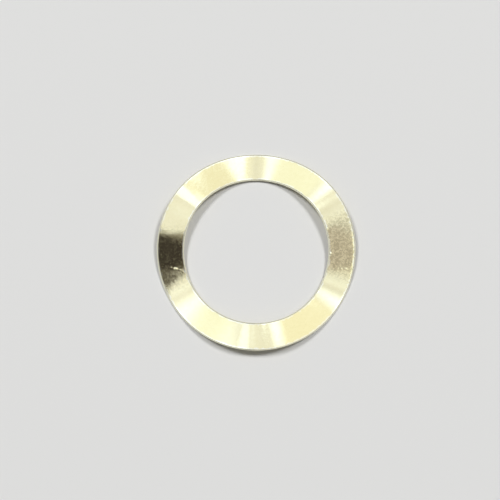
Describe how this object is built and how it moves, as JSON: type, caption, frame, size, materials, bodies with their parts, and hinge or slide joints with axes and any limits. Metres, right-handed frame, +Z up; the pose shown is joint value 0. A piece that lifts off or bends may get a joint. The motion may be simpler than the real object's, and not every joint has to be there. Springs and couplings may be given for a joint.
{
  "type": "wave washer",
  "caption": "Flat ring of thin spring strip bent into even waves, with rounded edges, that pushes lightly back when squeezed along its axis.",
  "frame": {"origin": "on the axis of the bore, in the plane that the rim of the three valleys rests on", "axes": "+Z up the axis of the bore, with one crest at 30 degrees anticlockwise from +X and one valley on +Y"},
  "size_m": [0.022, 0.022, 0.0018],
  "materials": {
    "spring_strip": "bright rolled strip"
  },
  "bodies": {
    "root": {"washer": "spring_strip"}
  },
  "joints": []
}
